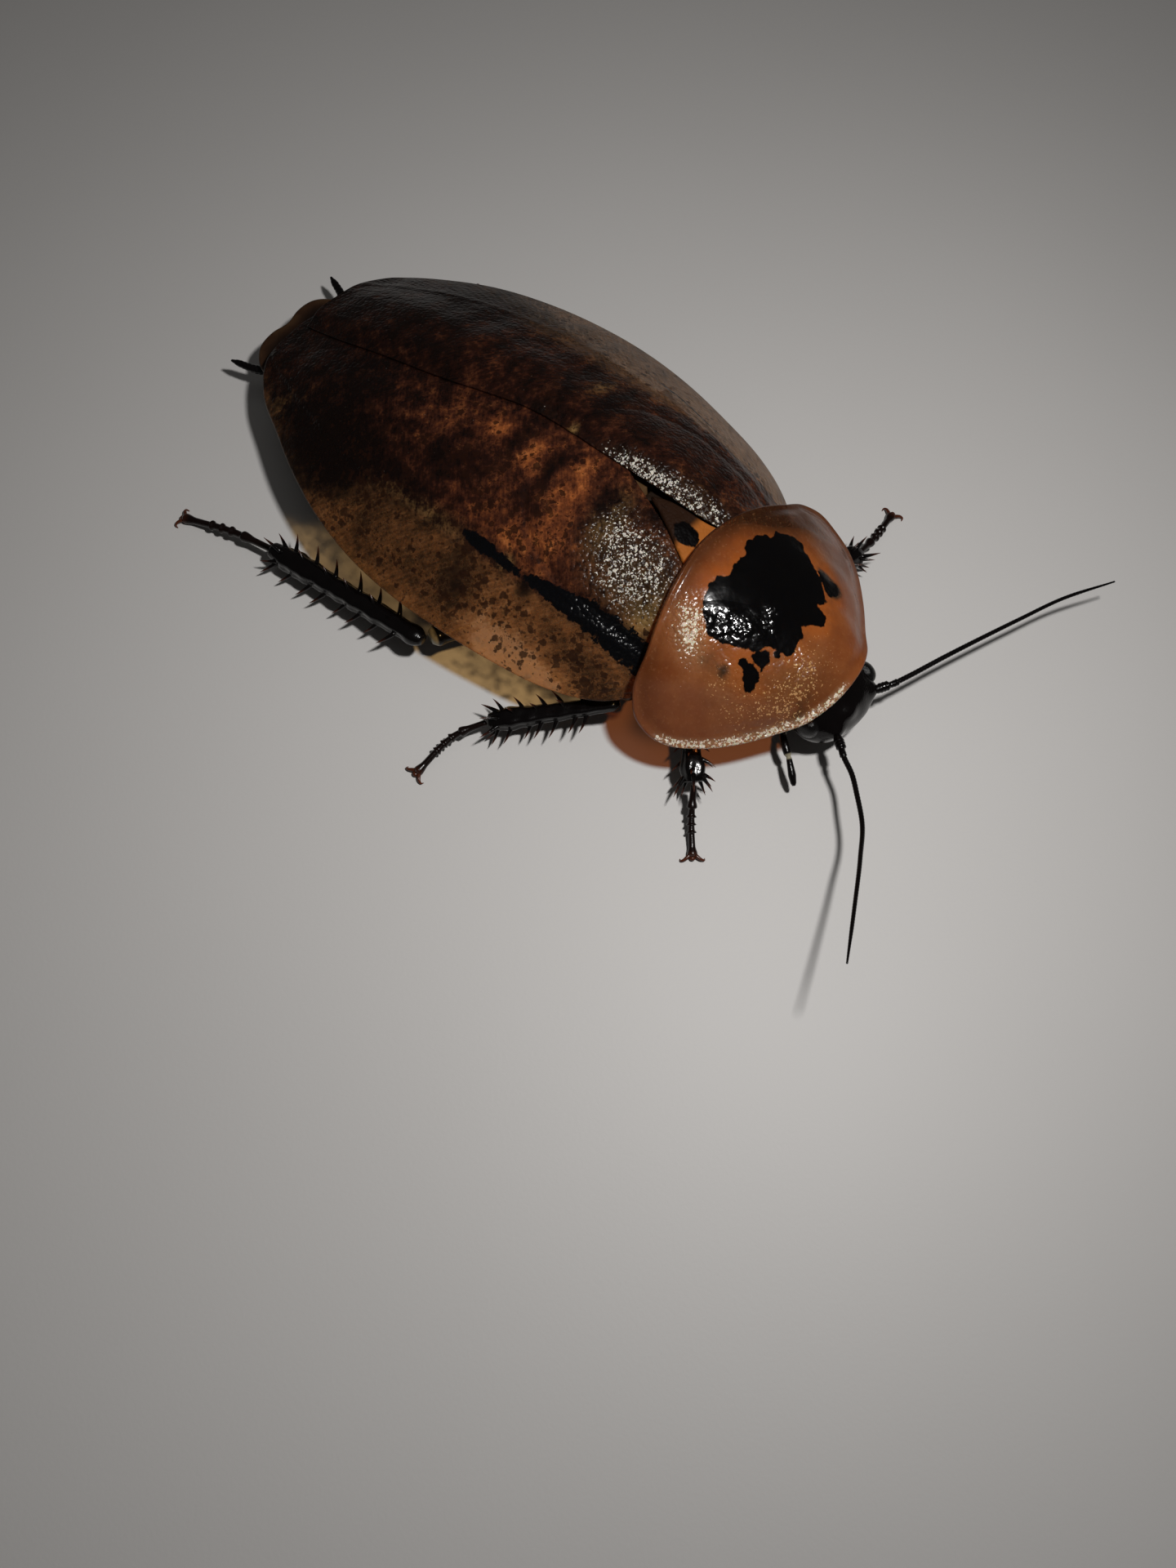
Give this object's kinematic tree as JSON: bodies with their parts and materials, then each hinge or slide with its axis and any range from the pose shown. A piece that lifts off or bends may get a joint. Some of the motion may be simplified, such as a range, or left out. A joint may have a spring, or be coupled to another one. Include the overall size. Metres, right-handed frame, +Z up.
{
  "type": "peppered roach, adult, wings folded, still life-size model",
  "caption": "Life-size peppered roach standing with wings folded, domed shield over its head, long feelers, spiny legs and short tail feelers.",
  "frame": {"origin": "on the floor, at the middle of the model's box seen from above", "axes": "+Z up from the floor the roach stands on, +Y from its head to its tail, +X to its own left"},
  "size_m": [0.0584, 0.0904, 0.0171],
  "materials": {
    "pronotum_horn": "glossy amber-brown horn with a black blotch",
    "wing_membrane": "leathery brown membrane, glossy near the base, speckled dark, paler at its outer edge",
    "belly_brown": "dark brown horn",
    "black_horn": "polished black horn",
    "foot_red_black": "black horn with red-brown claws"
  },
  "bodies": {
    "root": {"abdomen": "belly_brown", "antenna_left": "black_horn", "antenna_right": "black_horn", "cercus_left": "black_horn", "cercus_right": "black_horn", "coxa_fore_left": "black_horn", "coxa_fore_right": "black_horn", "coxa_hind_left": "black_horn", "coxa_hind_right": "black_horn", "coxa_mid_left": "black_horn", "coxa_mid_right": "black_horn", "eye_left": "black_horn", "eye_right": "black_horn", "femur_fore_left": "black_horn", "femur_fore_right": "black_horn", "femur_hind_left": "black_horn", "femur_hind_right": "black_horn", "femur_mid_left": "black_horn", "femur_mid_right": "black_horn", "head": "black_horn", "mouthparts": "black_horn", "palp_left": "black_horn", "palp_right": "black_horn", "pronotum": "pronotum_horn", "scutellum": "pronotum_horn", "tail_plate": "belly_brown", "tarsus_fore_left": "foot_red_black", "tarsus_fore_right": "foot_red_black", "tarsus_hind_left": "foot_red_black", "tarsus_hind_right": "foot_red_black", "tarsus_mid_left": "foot_red_black", "tarsus_mid_right": "foot_red_black", "thorax": "belly_brown", "tibia_fore_left": "black_horn", "tibia_fore_right": "black_horn", "tibia_hind_left": "black_horn", "tibia_hind_right": "black_horn", "tibia_mid_left": "black_horn", "tibia_mid_right": "black_horn", "wing_left": "wing_membrane", "wing_right": "wing_membrane"}
  },
  "joints": []
}
